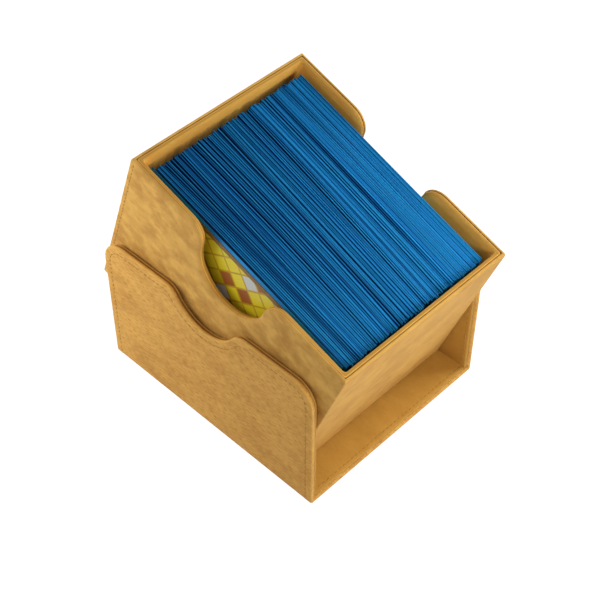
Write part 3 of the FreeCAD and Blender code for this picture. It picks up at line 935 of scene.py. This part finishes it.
deck = Shape()
stack = CARD_COUNT * CARD_PITCH
places = [uneven(chance, CARD_COUNT, stack - less, gap) for less, gap in zip(NARROWER, GAPS)]
for k in range(CARD_COUNT):
    middles = [DECK_LEFT + row[k] for row in places]
    rear_end = CARD_REAR - REAR_SKEW * (1 - k / CARD_COUNT) - chance.uniform(*REAR_ENDS)
    ends = (CARD_FRONT - chance.uniform(*FRONT_ENDS), rear_end)
    top = CARD_TOP + chance.uniform(*TOPS)
    tone = LEAST_TONE + TONE_SPREAD * chance.random() + PAINTED_LIGHT_TO_RIGHT * k / CARD_COUNT
    wave = chance.uniform(*WAVES)
    bare = {0: [-1], CARD_COUNT - 1: [1]}.get(k, [])
    sleeve(deck, middles, SLEEVE_HALF, ends, top, tone, wave, bare)
deck.piece("card_sleeves", SLEEVE, "deck", "card_sleeve", ["sleeved_cards"])

# The front card lies between a clear film on its left and a coloured one, its back, on its right
PRINT_LEFT = FRONT_CARD_LEFT + 0.12
PRINT_THICKNESS = 0.24
PRINT_MARGIN = 1.75
PRINT_CORNER = 3.2
PRINT_BORDER = 2.0
FILM_THICKNESS = 0.06
FILM_MARGIN = 0.2
FILM_CORNER = 1.2
BACK_MIDDLE = FRONT_CARD_LEFT + 0.5
BACK_HALF = 0.13
BACK_TONE = 0.5
# Steps over the edges of the printed card and the clear film: inset, depth, tone
PRINT_PROFILE = (
    (PRINT_BORDER, 0.0, 0.0), (PRINT_BORDER - 0.2, 0.0, 1.0), (0.06, 0.0, 1.0), (0.0, 0.05, 1.0),
    (0.0, PRINT_THICKNESS, 1.0), (0.5, PRINT_THICKNESS, 1.0),
)
FILM_PROFILE = (
    (1.0, 0.0, 0.0), (0.0, 0.01, 0.0), (0.0, FILM_THICKNESS, 0.0), (1.0, FILM_THICKNESS, 0.0),
)


def card_rows(margin, corner):
    """Lattice of a card with rounded corners, as (along, height)."""
    def rows_at(distance):
        low, high = CARD_FOOT + margin + distance, CARD_TOP - margin - distance
        front, rear = CARD_FRONT + margin + distance, CARD_REAR - margin - distance
        round_by = corner - distance
        bend = arc((0, 0), round_by, 180, 90)
        upper = [(front + round_by + x, high - round_by + y) for x, y in bend]
        upper += run(upper[-1], (rear - round_by, high))
        upper += [(rear - round_by - x, high - round_by + y) for x, y in reversed(bend)]
        middle = [(x, (low + high) / 2) for x, y in upper]
        lower = [(x, low + high - y) for x, y in upper]
        return [upper, middle, lower]
    return rows_at


def card_place(left):
    """What puts a flat point of a card in space, from the x place of its left face."""
    return lambda along, height, depth: lean(left + depth, along, height)


front_print = plate(card_rows(PRINT_MARGIN, PRINT_CORNER), PRINT_PROFILE, card_place(PRINT_LEFT))
front_print.piece("front_card_print", PRINT, "front_card", "card_face", ["front_card"])

film = plate(card_rows(FILM_MARGIN, FILM_CORNER), FILM_PROFILE, card_place(FRONT_CARD_LEFT))
film.piece("front_card_film", FILM, "front_card", "card_sleeve")

back = Shape()
sleeve(back, [BACK_MIDDLE] * 3, BACK_HALF, (CARD_FRONT, CARD_REAR), CARD_TOP, BACK_TONE, 0.0, [-1, 1])
back.piece("front_card_back", SLEEVE, "front_card", "card_sleeve")


# Floor, light and camera

def light_path_share(tree):
    """1 for rays from the camera, a gloss or a clear film, and 0 for those that light things."""
    path = tree.nodes.new("ShaderNodeLightPath")
    share = path.outputs["Is Camera Ray"]
    for name in ("Is Glossy Ray", "Is Transmission Ray"):
        node = tree.nodes.new("ShaderNodeMath")
        node.operation = "MAXIMUM"
        tree.links.new(share, node.inputs[0])
        tree.links.new(path.outputs[name], node.inputs[1])
        share = node.outputs[0]
    return share


# Light from all round
AMBIENT = 0.1
AMBIENT_TINT = (1.0, 0.98, 0.95, 1.0)
# The floor: its size and how far it lies under the case, in metres, the glow and the shade that the camera
# sees on it, and how white it is to the lamps
FLOOR_SIZE = 12.0
FLOOR_DROP = 0.0004
FLOOR_GLOW = 0.95
FLOOR_SHADE = 0.2
FLOOR_WHITE = 0.9

world = bpy.data.worlds.new("studio")
world.use_nodes = True
bpy.context.scene.world = world
tree = world.node_tree
tree.nodes.clear()
lit = tree.nodes.new("ShaderNodeBackground")
lit.inputs["Color"].default_value = AMBIENT_TINT
lit.inputs["Strength"].default_value = AMBIENT
seen = tree.nodes.new("ShaderNodeBackground")
seen.inputs["Color"].default_value = (1, 1, 1, 1)
either = tree.nodes.new("ShaderNodeMixShader")
surface = tree.nodes.new("ShaderNodeOutputWorld")
tree.links.new(light_path_share(tree), either.inputs[0])
tree.links.new(lit.outputs[0], either.inputs[1])
tree.links.new(seen.outputs[0], either.inputs[2])
tree.links.new(either.outputs[0], surface.inputs["Surface"])

bpy.ops.mesh.primitive_plane_add(size=FLOOR_SIZE, location=(0, 0, -FLOOR_DROP))
floor = bpy.context.object
floor.name = "studio_floor"
pale = bpy.data.materials.new("pale floor")
pale.use_nodes = True
tree = pale.node_tree
tree.nodes.clear()
plain = tree.nodes.new("ShaderNodeBsdfDiffuse")
plain.inputs["Color"].default_value = (FLOOR_WHITE, FLOOR_WHITE, FLOOR_WHITE, 1)
shaded = tree.nodes.new("ShaderNodeBsdfDiffuse")
shaded.inputs["Color"].default_value = (FLOOR_SHADE, FLOOR_SHADE, FLOOR_SHADE, 1)
glow = tree.nodes.new("ShaderNodeEmission")
glow.inputs["Strength"].default_value = FLOOR_GLOW
white = tree.nodes.new("ShaderNodeAddShader")
either = tree.nodes.new("ShaderNodeMixShader")
surface = tree.nodes.new("ShaderNodeOutputMaterial")
tree.links.new(shaded.outputs[0], white.inputs[0])
tree.links.new(glow.outputs[0], white.inputs[1])
tree.links.new(light_path_share(tree), either.inputs[0])
tree.links.new(plain.outputs[0], either.inputs[1])
tree.links.new(white.outputs[0], either.inputs[2])
tree.links.new(either.outputs[0], surface.inputs["Surface"])
floor.data.materials.append(pale)


def soft_box(name, place, target, size, power):
    """A square area lamp that faces a point."""
    lamp = bpy.data.lights.new(name, "AREA")
    lamp.size = size
    lamp.energy = power
    made = bpy.data.objects.new(name, lamp)
    bpy.context.scene.collection.objects.link(made)
    made.location = place
    made.rotation_mode = "QUATERNION"
    made.rotation_quaternion = (Vector(target) - Vector(place)).to_track_quat("-Z", "Y")


# Lamps: name, place, the point that it faces, size, power
LAMPS = (
    ("left", (-0.145, 0.125, 0.11), (-0.04, 0.055, 0.045), 0.12, 0.2),
    ("front", (-0.035, -0.30, 0.165), (0.0, -0.03, 0.04), 0.09, 0.42),
    ("right", (0.30, -0.12, 0.26), (0.02, -0.02, 0.08), 0.2, 1.1),
    ("above", (-0.22, -0.10, 0.50), (0.0, 0.0, 0.06), 0.35, 0.44),
    ("rear", (0.25, 0.60, 0.12), (0.0, 0.0, 0.05), 0.5, 2.5),
)
for lamp in LAMPS:
    soft_box(*lamp)

# The photograph's camera: its place in metres, where it looks, its lens and its sensor
CAMERA_PLACE = (-0.25010, -0.24526, 0.40362)
CAMERA_LOOKS = (0.49311, 0.48121, -0.72476)
CAMERA_LENS = 85.33
CAMERA_SENSOR = 36.0

camera = bpy.data.objects.new("camera", bpy.data.cameras.new("camera"))
bpy.context.scene.collection.objects.link(camera)
camera.data.sensor_width = CAMERA_SENSOR
camera.data.lens = CAMERA_LENS
camera.location = CAMERA_PLACE
camera.rotation_mode = "QUATERNION"
camera.rotation_quaternion = Vector(CAMERA_LOOKS).to_track_quat("-Z", "Y")
bpy.context.scene.camera = camera
bpy.context.scene.view_settings.view_transform = "Standard"
